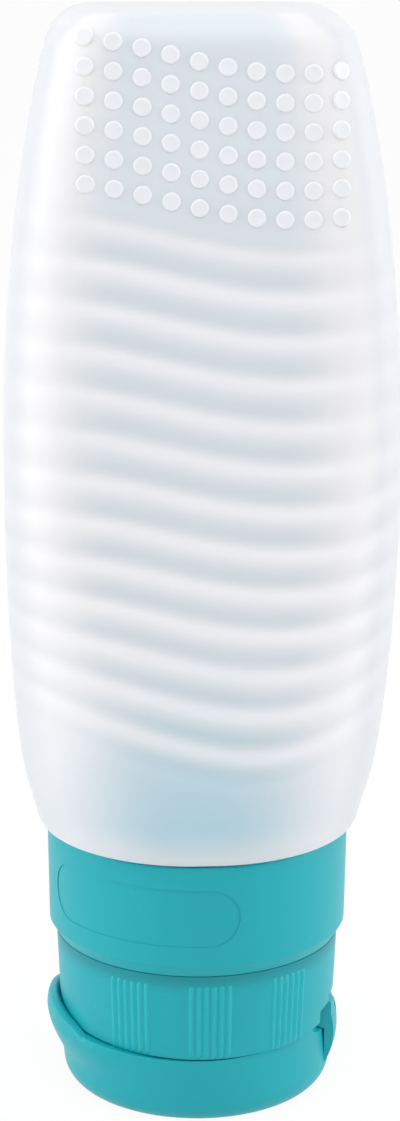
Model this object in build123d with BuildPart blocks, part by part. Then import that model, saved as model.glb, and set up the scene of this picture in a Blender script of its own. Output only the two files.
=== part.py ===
from math import degrees
import os

from build123d import *

# Squeezable travel bottle standing on its closed flip lid, sizes in millimetres.
# z = 0 is the lid's flat outer face and +Z runs through lid, cap and neck to the base end.
# -Y is the bottle's front, the thumb tab is at -X and the lid's hinge at +X.

# Overall
collar_radius = 19.5  # widest rigid radius, at the top of the label ring
lid_height = 9.2  # from the floor to the lid's rim, at the front
cap_line = 21.0  # height of the line between cap and label ring
ring_height = 14.9  # label ring, from the cap line to the shoulder
bottle_reach = 103.8  # silicone from the shoulder to the base end
bottle_width = 49.1  # widest, at mid height
collar_overhang = 1.1  # the ring stands this much outside the cap
overrun = 1.0  # how far cutters pass the faces that they cut
line_gap = 0.2  # open line between two rigid pieces
soft_gap = 0.3  # air beside a soft piece that something moves past
running_gap = 0.08  # radial clearance of a turning fit
seat_gap = 0.1  # radial clearance of a fixed fit

# Silicone bottle
silicone_wall = 2.0
base_round = 4.0  # rounding of the base end
base_round_inside = 2.2
shoulder_flush = 0.1  # the shoulder stands this much outside the ring
shoulder_swell = 0.3  # the bottle is this much deeper on each side, above the shoulder
shoulder_bulge = 1.0  # and this much wider
shoulder_round = 0.9  # rounding of its lower edge
shoulder_inset = 1.4  # radius lost from the shoulder's outside to the cavity's start
base_dish = 0.45  # shallow hollow in the base end
base_dish_floor = 10.0  # half length of its flat part

# Neck: insert, silicone sleeve, clamp, label ring
neck_wall = 2.6  # rigid neck, at its thread
insert_wall = 2.0  # the same tube inside the silicone
thread_length = 5.5  # the neck reaches this far into the cap
face_play = 0.1  # axial play between flat faces that meet
silicone_sleeve = 1.6
clamp_wall = 1.2
stop_flange_height = 1.0
inner_flange_height = 1.3
inner_flange_width = 2.1
mouth_chamfer = 0.6
ring_lip_height = 0.35  # inward lip that closes the ring's lower end
ring_bevel_height = 1.5
ring_bevel_in = 1.15
ring_draft = 0.2
ring_edge_round = 0.3
snap_height = 0.8  # rib inside the ring that snaps into the clamp's groove
snap_depth = 0.33
snap_side_play = 0.3

# Bare stadium recess on the label ring
panel_height = 7.6
panel_arc = 83.6  # degrees, end to end
panel_turn = -29.5  # degrees from the front, towards the tab
panel_depth = 0.2

# Screw cap
cap_draft = 0.5  # radius lost from the cap line down to the lid
cap_wall = 2.1
thread_room = 0.6  # radial room for the thread between neck and cap
gasket_height = 1.0
gasket_width = 2.6
spigot_setback = 2.6  # the collar that the lid closes round is this much inside the cap
spigot_bead = 0.2  # snap bead round that collar
spigot_bead_half = 0.35
deck_drop = 2.7  # from the lid's rim down to the cap's outer face
deck_thickness = 2.0
well_wall = 3.4
orifice_radius = 4.0
boss_wall = 1.4  # round the valve's pocket
boss_height = 1.9
boss_draft = 0.5
valve_ledge = 1.2  # thickness of the ledge that the valve sits on
edge_soften = 0.4

# Grip ribs: groups at the front and back of the cap
rib_count = 6
rib_pitch = 3.1  # degrees
rib_arc = 2.1  # degrees
rib_relief = 0.28
rib_group_pitch = 30.0  # degrees
rib_groups = 3
rib_start = 1.4  # clear band under the label ring
rib_slope = 0.5  # height over which a rib's upper end dies into the wall

# Cross slit valve and its retainer
valve_flange_width = 2.1
valve_flange_height = 1.2
valve_dish = 0.6  # the membrane bulges this far outwards
valve_membrane = 0.7
valve_slit_length = 5.0
valve_slit_width = 0.15
retainer_height = 1.3
retainer_inset = 0.4

# Flip lid
lid_setback = 0.3  # the rim lies this much inside the cap's radius
lid_draft = 0.8
lid_floor = 1.8
lid_round = 3.0
lid_clear = 0.4  # between the lid's wall and the cap's spigot
rim_rise = 1.0  # the rim climbs this much towards tab and hinge
plug_play = 0.3  # radial, in the orifice
plug_wall = 1.0
plug_entry = 0.3  # the plug ring reaches this far into the orifice
rim_soften = 0.25

# Thumb tab: a crescent lip on a circle set off towards -X
tab_offset = 1.7
tab_flare = 0.18  # the lip's circle is this much wider than the lid
tab_rise = 4.5  # from the lid's rim to the lip's edge
tab_soften = 0.35
tab_fall = 15.5  # drop of the lip's upper edge from its tip to the lid's axis
tab_clear = 0.45  # air between the lip and the cap's wall

# Lid hinge, a pin along Y through two lid ears and one cap knuckle
hinge_inset = 2.0  # from the cap's radius in to the axis
hinge_rise = 0.7  # from the lid's rim up to the axis
barrel_radius = 1.9
barrel_step = 0.2  # the knuckle is this much slimmer than the barrel
knuckle_half = 2.6  # half width of the cap's middle knuckle
ear_width = 3.4
pad_bulge = 0.25  # the ears' outer face stands this much outside the lid's rim
pad_drop = 4.7  # from the axis down to the pad's widest height
pad_foot = 1.0
pad_foot_inset = 2.1
notch_width = 3.1  # open notch beside each ear
notch_clear = 0.1
pocket_clear = 1.05
pin_radius = 0.8
pin_play = 0.06
clip_mouth = 1.3  # the knuckle is a clip that snaps over the pin

# The bottle's sections at even steps from above the shoulder to the base end: half width,
# half depth and corner radius, as shares of the widest half, deepest half and half depth.
section_shares = (
    (0.918, 1.0, 0.9),
    (0.956, 0.99, 0.8),
    (0.978, 0.968, 0.7),
    (0.991, 0.94, 0.62),
    (0.998, 0.912, 0.56),
    (0.997, 0.878, 0.52),
    (0.983, 0.84, 0.5),
    (0.959, 0.798, 0.49),
    (0.923, 0.752, 0.48),
    (0.873, 0.702, 0.48),
    (0.807, 0.646, 0.5),
    (0.729, 0.588, 0.53),
)
neck_corner_share = 0.985

# Radii that follow from the sizes above, from the label ring inwards
cap_radius = collar_radius - collar_overhang
cap_low_radius = cap_radius - cap_draft
cap_inside = cap_radius - cap_wall
thread_root = cap_inside - thread_room
insert_bore_radius = thread_root - neck_wall
insert_radius = insert_bore_radius + insert_wall
inner_flange_radius = insert_radius + inner_flange_width
sleeve_inside = insert_radius + seat_gap
sleeve_outside = sleeve_inside + silicone_sleeve
clamp_inside = sleeve_outside + seat_gap
clamp_outside = clamp_inside + clamp_wall
ring_inside = clamp_outside + running_gap
ring_lip_radius = cap_inside + seat_gap
groove_radius = clamp_outside - snap_depth - seat_gap
panel_floor = collar_radius - ring_draft / 2 - panel_depth
mouth_half = collar_radius + shoulder_flush
shoulder_half = mouth_half + shoulder_bulge
deepest_half = mouth_half + shoulder_swell
widest_half = bottle_width / 2
spigot_radius = cap_radius - spigot_setback
well_radius = spigot_radius - well_wall
valve_flange_radius = orifice_radius + valve_flange_width
valve_pocket = valve_flange_radius + seat_gap
boss_radius = valve_pocket + boss_wall
retainer_opening = orifice_radius + retainer_inset
lid_radius = cap_radius - lid_setback
lid_foot_radius = lid_radius - lid_draft
lid_inside = spigot_radius + lid_clear
plug_radius = orifice_radius - plug_play
tab_radius = lid_radius + tab_flare
tab_foot_radius = lid_foot_radius + lid_draft * lid_round / lid_height
tab_reach = tab_offset + tab_radius
hinge_x = cap_radius - hinge_inset
knuckle_radius = barrel_radius - barrel_step
ear_outer_half = knuckle_half + ear_width
pad_radius = lid_radius + pad_bulge
pad_foot_radius = lid_radius - pad_foot_inset
pocket_half = ear_outer_half + notch_width
notch_radius = barrel_radius + notch_clear
pocket_radius = barrel_radius + pocket_clear

# Heights that follow, from the floor up
deck_height = lid_height - deck_drop
deck_top = deck_height + deck_thickness
boss_base = deck_height - boss_height
ledge_top = boss_base + valve_ledge
valve_base = ledge_top + face_play
bead_middle = (deck_height + lid_height) / 2
rim_side = lid_height + rim_rise
saddle_radius = lid_radius * lid_radius / (2 * rim_rise)
tab_top = lid_height + tab_rise
hinge_z = lid_height + hinge_rise
pad_height = hinge_z - pad_drop
mouth_height = cap_line - thread_length
gasket_base = mouth_height - gasket_height - face_play
shelf = gasket_base - face_play
cap_top = cap_line - line_gap / 2
ring_base = cap_line + line_gap / 2
shoulder = cap_line + ring_height
ring_top = shoulder - soft_gap
base_end = shoulder + bottle_reach
cavity_floor = shoulder + silicone_wall
flange_base = ring_base + ring_lip_height + line_gap
flange_top = flange_base + stop_flange_height
snap_middle = (flange_top + ring_top) / 2
groove_half = snap_height / 2 + snap_side_play
panel_middle = (ring_base + ring_bevel_height + ring_top) / 2
rib_low = lid_height + line_gap
rib_high = cap_top - rib_start

# Turns that follow, in degrees
panel_end = degrees(panel_height / 2 / collar_radius)
rib_span = rib_pitch * (rib_count - 1)
group_start = -rib_group_pitch * (rib_groups - 1) / 2 - rib_span / 2


def wall_at(height):
    """Radius of the cap's drafted outer wall."""
    return cap_low_radius + cap_draft * (height - lid_height) / (cap_top - lid_height)


# Hollow of the silicone bottle
section_step = bottle_reach / len(section_shares)
with BuildPart() as cavity:
    start_radius = mouth_half - shoulder_inset
    with BuildSketch(Plane.XY.offset(cavity_floor)):
        RectangleRounded(2 * start_radius, 2 * start_radius, start_radius * neck_corner_share)
    for step, (width_share, depth_share, corner_share) in enumerate(section_shares, start=1):
        half_width = widest_half * width_share - silicone_wall
        half_depth = deepest_half * depth_share - silicone_wall
        height = min(shoulder + section_step * step, base_end - silicone_wall)
        with BuildSketch(Plane.XY.offset(height)):
            RectangleRounded(2 * half_width, 2 * half_depth, half_depth * corner_share)
    loft()
    fillet(cavity.faces().sort_by(Axis.Z)[-1].edges(), radius=base_round_inside)

# Shallow dish in the base end
with BuildPart() as dish_tool:
    dish_depth_share = section_shares[-1][1] * deepest_half / (section_shares[-1][0] * widest_half)
    with BuildSketch(Plane.XY.offset(base_end - base_dish)):
        RectangleRounded(2 * base_dish_floor, 2 * base_dish_floor * dish_depth_share, base_round)
    with BuildSketch(Plane.XY.offset(base_end)):
        rim_length = section_shares[-1][0] * widest_half - base_round
        RectangleRounded(2 * rim_length, 2 * rim_length * dish_depth_share, base_round)
    loft()

# Silicone bottle, soft
with BuildPart() as bottle_body:
    with BuildSketch(Plane.XY.offset(shoulder)):
        RectangleRounded(2 * shoulder_half, 2 * deepest_half, deepest_half * neck_corner_share)
    for step, (width_share, depth_share, corner_share) in enumerate(section_shares, start=1):
        half_width = widest_half * width_share
        half_depth = deepest_half * depth_share
        with BuildSketch(Plane.XY.offset(shoulder + section_step * step)):
            RectangleRounded(2 * half_width, 2 * half_depth, half_depth * corner_share)
    loft()
    fillet(bottle_body.faces().sort_by(Axis.Z)[-1].edges(), radius=base_round)
    fillet(bottle_body.faces().sort_by(Axis.Z)[0].edges(), radius=shoulder_round)
    with BuildSketch(Plane.XY.offset(flange_top)):
        Circle(sleeve_outside)
    extrude(amount=shoulder - flange_top)
    add(cavity.part, mode=Mode.SUBTRACT)
    add(dish_tool.part, mode=Mode.SUBTRACT)
    with BuildSketch(Plane.XY.offset(flange_top)):
        Circle(sleeve_inside)
    extrude(amount=cavity_floor - flange_top + overrun, mode=Mode.SUBTRACT)
bottle_body.part.label = "bottle_body"

# Rigid threaded insert inside the silicone neck, with the flange that keeps it in
with BuildPart() as neck_insert:
    with BuildSketch(Plane.XZ):
        with BuildLine():
            Polyline(
                (insert_bore_radius, mouth_height),
                (thread_root, mouth_height),
                (thread_root, flange_base),
                (clamp_outside, flange_base),
                (clamp_outside, flange_top),
                (insert_radius, flange_top),
                (insert_radius, cavity_floor),
                (inner_flange_radius, cavity_floor),
                (inner_flange_radius, cavity_floor + inner_flange_height),
                (insert_bore_radius, cavity_floor + inner_flange_height),
                close=True,
            )
        make_face()
    revolve(axis=Axis.Z)
    mouth_edges = neck_insert.edges().filter_by(GeomType.CIRCLE).group_by(Axis.Z)[0]
    chamfer(mouth_edges.sort_by(SortBy.RADIUS)[-1], length=mouth_chamfer)
    flange_edges = neck_insert.edges().filter_by(GeomType.CIRCLE).group_by(Axis.Z)[-1]
    fillet(flange_edges.sort_by(SortBy.RADIUS)[-1], radius=mouth_chamfer)
neck_insert.part.label = "neck_insert"

# Fixed clamp round the silicone neck, with the groove that the label ring snaps into
with BuildPart() as neck_clamp:
    with BuildSketch(Plane.XZ):
        with BuildLine():
            Polyline(
                (clamp_inside, flange_top),
                (clamp_outside, flange_top),
                (clamp_outside, snap_middle - groove_half),
                (groove_radius, snap_middle - groove_half),
                (groove_radius, snap_middle + groove_half),
                (clamp_outside, snap_middle + groove_half),
                (clamp_outside, ring_top),
                (clamp_inside, ring_top),
                close=True,
            )
        make_face()
    revolve(axis=Axis.Z)
neck_clamp.part.label = "neck_clamp"

# Wrapped stadium: a band of the ring's arc with a round end at each side
with BuildPart() as panel_tool:
    band_start = -90 + panel_turn - panel_arc / 2 + panel_end
    with BuildSketch(Plane.XZ.rotated((0, 0, band_start))):
        with Locations((collar_radius, panel_middle)):
            Rectangle(2 * (collar_radius - panel_floor) + overrun, panel_height)
    revolve(axis=Axis.Z, revolution_arc=panel_arc - 2 * panel_end)
    for side in (-1, 1):
        end_turn = panel_turn + side * (panel_arc / 2 - panel_end)
        end_plane = Plane.XZ.rotated((0, 0, end_turn)).offset(panel_floor - overrun)
        with BuildSketch(end_plane):
            with Locations((0, panel_middle)):
                Circle(panel_height / 2)
        extrude(amount=2 * overrun + collar_radius - panel_floor)
    with BuildSketch(Plane.XY.offset(panel_middle - panel_height)):
        Circle(panel_floor)
    extrude(amount=2 * panel_height, mode=Mode.SUBTRACT)

# Label ring that turns on the clamp
with BuildPart() as collar_ring:
    with BuildSketch(Plane.XZ):
        with BuildLine():
            Polyline(
                (ring_lip_radius, ring_base),
                (collar_radius - ring_bevel_in, ring_base),
                (collar_radius - ring_draft, ring_base + ring_bevel_height),
                (collar_radius, ring_top),
                (ring_inside, ring_top),
                (ring_inside, snap_middle + snap_height / 2),
                (ring_inside - snap_depth, snap_middle + snap_height / 4),
                (ring_inside - snap_depth, snap_middle - snap_height / 4),
                (ring_inside, snap_middle - snap_height / 2),
                (ring_inside, ring_base + ring_lip_height),
                (ring_lip_radius, ring_base + ring_lip_height),
                close=True,
            )
        make_face()
    revolve(axis=Axis.Z)
    ring_edges = collar_ring.edges().filter_by(GeomType.CIRCLE).group_by(Axis.Z)[-1]
    fillet(ring_edges.sort_by(SortBy.RADIUS)[-1], radius=ring_edge_round)
    add(panel_tool.part, mode=Mode.SUBTRACT)
collar_ring.part.label = "collar_ring"

# Flat silicone washer between the neck's end and the cap
with BuildPart() as mouth_gasket:
    with BuildSketch(Plane.XY.offset(gasket_base)):
        Circle(insert_bore_radius + gasket_width)
        Circle(insert_bore_radius, mode=Mode.SUBTRACT)
    extrude(amount=gasket_height)
mouth_gasket.part.label = "mouth_gasket"

# One grip rib, drafted like the wall
with BuildPart() as grip_rib:
    with BuildSketch(Plane.XZ.rotated((0, 0, -rib_arc / 2))):
        with BuildLine():
            Polyline(
                (wall_at(rib_low) - rib_relief, rib_low),
                (wall_at(rib_low) + rib_relief, rib_low),
                (wall_at(rib_high) + rib_relief, rib_high - rib_slope),
                (wall_at(rib_high), rib_high),
                (wall_at(rib_high) - rib_relief, rib_high),
                close=True,
            )
        make_face()
    revolve(axis=Axis.Z, revolution_arc=rib_arc)

# Air under the cap's wall: the wall's lower edge follows the lid's saddle rim
with BuildPart() as wall_step:
    with BuildSketch(Plane.XY.offset(boss_base)):
        Circle(cap_radius + overrun)
        Circle(spigot_radius, mode=Mode.SUBTRACT)
    extrude(amount=rim_side + overrun - boss_base)
    with BuildSketch(Plane.XZ.offset(-cap_radius - 2 * overrun)):
        with Locations((0, lid_height + line_gap + saddle_radius)):
            Circle(saddle_radius)
    extrude(amount=2 * (cap_radius + 2 * overrun), mode=Mode.SUBTRACT)

# Screw cap with spigot, deck, nozzle boss and hinge knuckle
with BuildPart() as cap_shell:
    with BuildSketch(Plane.XZ):
        with BuildLine():
            Polyline(
                (orifice_radius, boss_base),
                (boss_radius - boss_draft, boss_base),
                (boss_radius, deck_height),
                (spigot_radius, deck_height),
                (spigot_radius, bead_middle - spigot_bead_half),
                (spigot_radius + spigot_bead, bead_middle),
                (spigot_radius, bead_middle + spigot_bead_half),
                (spigot_radius, lid_height),
                (cap_low_radius, lid_height),
                (cap_radius, cap_top),
                (cap_inside, cap_top),
                (cap_inside, shelf),
                (well_radius, shelf),
                (well_radius, deck_top),
                (valve_pocket, deck_top),
                (valve_pocket, ledge_top),
                (orifice_radius, ledge_top),
                close=True,
            )
        make_face()
    revolve(axis=Axis.Z)
    boss_edges = cap_shell.edges().filter_by(GeomType.CIRCLE).group_by(Axis.Z)[0]
    fillet(boss_edges.sort_by(SortBy.RADIUS)[-1], radius=edge_soften)
    for facing in (-90, 90):
        for group in range(rib_groups):
            first = facing + group_start + group * rib_group_pitch
            with PolarLocations(0, rib_count, first, rib_span, endpoint=True):
                add(grip_rib.part)
    add(wall_step.part, mode=Mode.SUBTRACT)
    # Notches at both ends of the hinge, then the deeper pocket that the ears swing in
    with BuildSketch(Plane.XZ.offset(-pocket_half)):
        with Locations((hinge_x, hinge_z)):
            Circle(notch_radius)
        with Locations((hinge_x + cap_radius / 2, hinge_z)):
            Rectangle(cap_radius, 2 * notch_radius)
    extrude(amount=2 * pocket_half, mode=Mode.SUBTRACT)
    with BuildSketch(Plane.XZ.offset(-ear_outer_half - line_gap)):
        with Locations((hinge_x, hinge_z)):
            Circle(pocket_radius)
        with Locations((hinge_x + cap_radius / 2, hinge_z)):
            Rectangle(cap_radius, 2 * pocket_radius)
        with Locations((hinge_x - pocket_radius + cap_radius / 2, hinge_z - hinge_z / 2)):
            Rectangle(cap_radius, hinge_z)
    extrude(amount=2 * (ear_outer_half + line_gap), mode=Mode.SUBTRACT)
    with BuildSketch(Plane.XZ.offset(-knuckle_half)):
        with Locations((hinge_x, hinge_z)):
            Circle(knuckle_radius)
        with Locations((hinge_x - (pocket_radius + overrun) / 2, hinge_z)):
            Rectangle(pocket_radius + overrun, 2 * knuckle_radius)
    extrude(amount=2 * knuckle_half)
    with BuildSketch(Plane.XZ.offset(-knuckle_half - overrun)):
        with Locations((hinge_x, hinge_z)):
            Circle(pin_radius + pin_play)
        with Locations((hinge_x + knuckle_radius, hinge_z)):
            Rectangle(2 * knuckle_radius, clip_mouth)
    extrude(amount=2 * (knuckle_half + overrun), mode=Mode.SUBTRACT)
cap_shell.part.label = "cap_shell"

# Silicone valve with a cross slit in its membrane
with BuildPart() as orifice_valve:
    dome_radius = orifice_radius - soft_gap
    membrane_base = valve_base - valve_dish
    membrane_top = membrane_base + valve_membrane
    with BuildSketch(Plane.XZ):
        with BuildLine():
            Polyline(
                (0, membrane_base),
                (dome_radius - valve_dish, membrane_base),
                (dome_radius, valve_base),
                (valve_flange_radius, valve_base),
                (valve_flange_radius, valve_base + valve_flange_height),
                (orifice_radius, valve_base + valve_flange_height),
                (dome_radius - valve_dish, membrane_top),
                (0, membrane_top),
                close=True,
            )
        make_face()
    revolve(axis=Axis.Z)
    with BuildSketch(Plane.XY.offset(membrane_base - overrun)):
        Rectangle(valve_slit_length, valve_slit_width)
        Rectangle(valve_slit_width, valve_slit_length)
    extrude(amount=valve_membrane + 2 * overrun, mode=Mode.SUBTRACT)
orifice_valve.part.label = "orifice_valve"

# Ring that presses the valve's flange onto its ledge
with BuildPart() as valve_retainer:
    with BuildSketch(Plane.XY.offset(valve_base + valve_flange_height)):
        Circle(valve_flange_radius)
        Circle(retainer_opening, mode=Mode.SUBTRACT)
    extrude(amount=retainer_height)
valve_retainer.part.label = "valve_retainer"

# Air above the thumb tab: its edge falls from the tip to the saddle rim, then runs along that
with BuildPart() as tab_air:
    with BuildSketch(Plane.XZ.offset(-2 * lid_radius)):
        with BuildLine():
            Polyline(
                (-tab_reach, tab_top),
                (0, tab_top - tab_fall),
                (2 * tab_reach, tab_top - tab_fall),
                (2 * tab_reach, 2 * tab_top),
                (-2 * tab_reach, 2 * tab_top),
                (-2 * tab_reach, tab_top),
                close=True,
            )
        make_face()
        with Locations((0, lid_height + saddle_radius)):
            Circle(saddle_radius, mode=Mode.INTERSECT)
    extrude(amount=4 * lid_radius)

# Thumb tab: the lid's wall leans out to a circle that is set off towards the tab
with BuildPart() as thumb_tab:
    with BuildSketch(Plane.XY.offset(lid_round)):
        Circle(tab_foot_radius)
    with BuildSketch(Plane.XY.offset(tab_top)):
        with Locations((-tab_offset, 0)):
            Circle(tab_radius)
    loft()
    add(tab_air.part, mode=Mode.SUBTRACT)
    tip_edges = thumb_tab.faces().filter_by(GeomType.PLANE).sort_by(Axis.Z)[-1].edges()
    fillet(tip_edges, radius=tab_soften)

# Air that the cap's wall needs inside the lip, above the saddle rim
with BuildPart() as wall_air:
    with BuildSketch(Plane.XZ.offset(-lid_radius - overrun)):
        with Locations((0, lid_height + saddle_radius)):
            Circle(saddle_radius)
    extrude(amount=2 * (lid_radius + overrun))
    with BuildSketch(Plane.XZ):
        with BuildLine():
            Polyline(
                (0, 0),
                (wall_at(0) + tab_clear, 0),
                (wall_at(2 * tab_top) + tab_clear, 2 * tab_top),
                (0, 2 * tab_top),
                close=True,
            )
        make_face()
    revolve(axis=Axis.Z, mode=Mode.INTERSECT)

# Hinge ears: barrel and neck cut to a bulged pad that follows the lid's round
with BuildPart() as hinge_ears:
    with BuildSketch(Plane.XZ.offset(-ear_outer_half)):
        with Locations((hinge_x, hinge_z)):
            Circle(barrel_radius)
        with Locations((lid_inside + line_gap + lid_radius / 2, (pad_foot + hinge_z) / 2)):
            Rectangle(lid_radius, hinge_z - pad_foot)
    extrude(amount=2 * ear_outer_half)
    with BuildSketch(Plane.XZ):
        with BuildLine():
            Polyline(
                (hinge_x + barrel_radius, hinge_z),
                (hinge_x + barrel_radius, hinge_z + 2 * barrel_radius),
                (0, hinge_z + 2 * barrel_radius),
                (0, pad_foot),
                (pad_foot_radius, pad_foot),
            )
            ThreePointArc(
                (pad_foot_radius, pad_foot),
                (pad_radius, pad_height),
                (hinge_x + barrel_radius, hinge_z),
            )
        make_face()
    revolve(axis=Axis.Z, mode=Mode.INTERSECT)
    with BuildSketch(Plane.XZ.offset(-knuckle_half - line_gap)):
        with Locations((hinge_x, hinge_z)):
            Circle(barrel_radius + line_gap)
    extrude(amount=2 * (knuckle_half + line_gap), mode=Mode.SUBTRACT)
    with BuildSketch(Plane.XZ.offset(-knuckle_half - 2 * line_gap)):
        with Locations((hinge_x, hinge_z)):
            Circle(pin_radius)
    extrude(amount=2 * (knuckle_half + 2 * line_gap))

# Flip lid: cup, saddle rim, thumb tab, plug ring and hinge ears
with BuildPart() as flip_lid:
    with BuildSketch(Plane.XZ):
        with BuildLine():
            Polyline(
                (0, 0),
                (lid_foot_radius, 0),
                (lid_foot_radius + lid_draft * tab_top / lid_height, tab_top),
                (0, tab_top),
                close=True,
            )
        make_face()
    revolve(axis=Axis.Z)
    fillet(flip_lid.edges().filter_by(GeomType.CIRCLE).group_by(Axis.Z)[0], radius=lid_round)
    with BuildSketch(Plane.XZ.offset(-lid_radius - overrun)):
        with Locations((0, lid_height + saddle_radius)):
            Circle(saddle_radius)
    extrude(amount=2 * (lid_radius + overrun), mode=Mode.SUBTRACT)
    fillet(flip_lid.faces().sort_by(Axis.Z)[-1].edges(), radius=rim_soften)
    add(thumb_tab.part)
    add(wall_air.part, mode=Mode.SUBTRACT)
    with BuildSketch(Plane.XY.offset(lid_floor)):
        Circle(lid_inside)
    extrude(amount=tab_top, mode=Mode.SUBTRACT)
    with BuildSketch(Plane.XZ.offset(-pocket_half)):
        with Locations((hinge_x, hinge_z)):
            Circle(notch_radius)
    extrude(amount=2 * pocket_half, mode=Mode.SUBTRACT)
    add(hinge_ears.part)
    with BuildSketch(Plane.XY.offset(lid_floor)):
        Circle(plug_radius)
        Circle(plug_radius - plug_wall, mode=Mode.SUBTRACT)
    extrude(amount=boss_base + plug_entry - lid_floor)
flip_lid.part.label = "flip_lid"

os.makedirs("parts", exist_ok=True)
pieces = (
    bottle_body,
    neck_insert,
    neck_clamp,
    collar_ring,
    mouth_gasket,
    cap_shell,
    orifice_valve,
    valve_retainer,
    flip_lid,
)
for piece in pieces:
    export_step(piece.part, f"parts/{piece.part.label}.step")
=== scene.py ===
"""Looks of a squeezable travel bottle that stands on its closed flip lid.

The ring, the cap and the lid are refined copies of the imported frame's pieces, and the hidden
rigid pieces keep the frame's shape. The silicone bottle, its seals, the grip ribs and the threads
are modelled here, and every surface gets a procedural finish. Sizes in the classes are in
millimetres and the scene is in metres. +Z is up, the bottle's front faces -Y, the thumb tab is at
-X and the lid's hinge at +X.
"""

from __future__ import annotations

import logging
import math
from dataclasses import dataclass, field
from enum import Enum

import bmesh
import bpy
from mathutils import Matrix, Vector


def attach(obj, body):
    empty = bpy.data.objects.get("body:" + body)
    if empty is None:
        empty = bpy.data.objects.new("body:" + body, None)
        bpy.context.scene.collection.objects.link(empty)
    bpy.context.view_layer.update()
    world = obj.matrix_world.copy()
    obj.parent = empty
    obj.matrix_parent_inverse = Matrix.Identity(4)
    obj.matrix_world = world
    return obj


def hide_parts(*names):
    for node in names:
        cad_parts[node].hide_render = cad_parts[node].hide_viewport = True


logging.basicConfig(level=logging.INFO, format="%(message)s")
log = logging.getLogger("travel_bottle")

MM = 0.001

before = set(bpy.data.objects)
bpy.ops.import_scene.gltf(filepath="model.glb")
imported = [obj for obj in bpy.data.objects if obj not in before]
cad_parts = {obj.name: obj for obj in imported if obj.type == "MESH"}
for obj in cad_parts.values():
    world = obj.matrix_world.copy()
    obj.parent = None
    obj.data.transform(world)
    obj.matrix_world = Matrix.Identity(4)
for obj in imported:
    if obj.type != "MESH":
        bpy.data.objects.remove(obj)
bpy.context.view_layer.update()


class Body(Enum):
    """Moving bodies of the frame."""

    BOTTLE = "bottle"
    LABEL_RING = "label_ring"
    MOUTH_SEAL = "mouth_seal"
    VALVE = "valve"
    CAP = "cap"
    LID = "lid"


class Slot(Enum):
    """Material slots of the record."""

    SILICONE = "milky_silicone"
    PLASTIC = "teal_plastic"
    SEAL = "seal_silicone"


Colour = tuple[float, float, float]
Spot = tuple[float, float, float]
Span = tuple[float, float]
Outline = list[Span]
Mesh = bmesh.types.BMesh
Verts = list[bmesh.types.BMVert]
Edges = list[bmesh.types.BMEdge]
Piece = bpy.types.Object
Socket = bpy.types.NodeSocket
Feeds = dict[str | int, "float | Colour | Socket"]


def finish_mesh(name: str, bm: Mesh, smooth: bool = True) -> Piece:
    """Writes a bmesh to a new object in the scene.

    Args:
        name: Name of the object.
        bm: The finished mesh, which is freed.
        smooth: Whether its faces are shaded smooth.

    Returns:
        The new object, at the origin.
    """
    mesh = bpy.data.meshes.new(name)
    for face in bm.faces:
        face.smooth = smooth
    bm.to_mesh(mesh)
    bm.free()
    piece = bpy.data.objects.new(name, mesh)
    bpy.context.scene.collection.objects.link(piece)
    return piece


def turned(profile: Outline, steps: int) -> Mesh:
    """Spins a closed profile, or one that starts and ends on the axis, round the Z axis.

    Args:
        profile: Radius and height of each corner in millimetres.
        steps: Steps of the full turn.

    Returns:
        The closed mesh, in metres.
    """
    bm = bmesh.new()
    verts = [bm.verts.new((radius * MM, 0.0, height * MM)) for radius, height in profile]
    edges = [bm.edges.new(pair) for pair in zip(verts, verts[1:])]
    if profile[0][0] > 0:
        edges.append(bm.edges.new((verts[-1], verts[0])))
    bmesh.ops.spin(
        bm,
        geom=verts + edges,
        cent=(0, 0, 0),
        axis=(0, 0, 1),
        angle=2 * math.pi,
        steps=steps,
        use_merge=True,
    )
    bmesh.ops.remove_doubles(bm, verts=bm.verts, dist=0.00001 * MM)
    bmesh.ops.recalc_face_normals(bm, faces=bm.faces)
    return bm


def soften(bm: Mesh, offset: float, segments: int, least: float = 35.0) -> None:
    """Rounds every edge that is sharper than an angle.

    Args:
        bm: The mesh.
        offset: Width of the rounding in millimetres.
        segments: Its segments.
        least: The angle in degrees.
    """
    sharp = [e for e in bm.edges if e.is_manifold and e.calc_face_angle() > math.radians(least)]
    bmesh.ops.bevel(
        bm,
        geom=sharp,
        offset=offset * MM,
        offset_type="OFFSET",
        segments=segments,
        profile=0.5,
        affect="EDGES",
        clamp_overlap=True,
        material=-1,
    )


def ease(value: float, low: float, high: float) -> float:
    """Smooth step from 0 at low to 1 at high."""
    share = min(max((value - low) / (high - low), 0.0), 1.0)
    return share * share * (3 - 2 * share)


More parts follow.
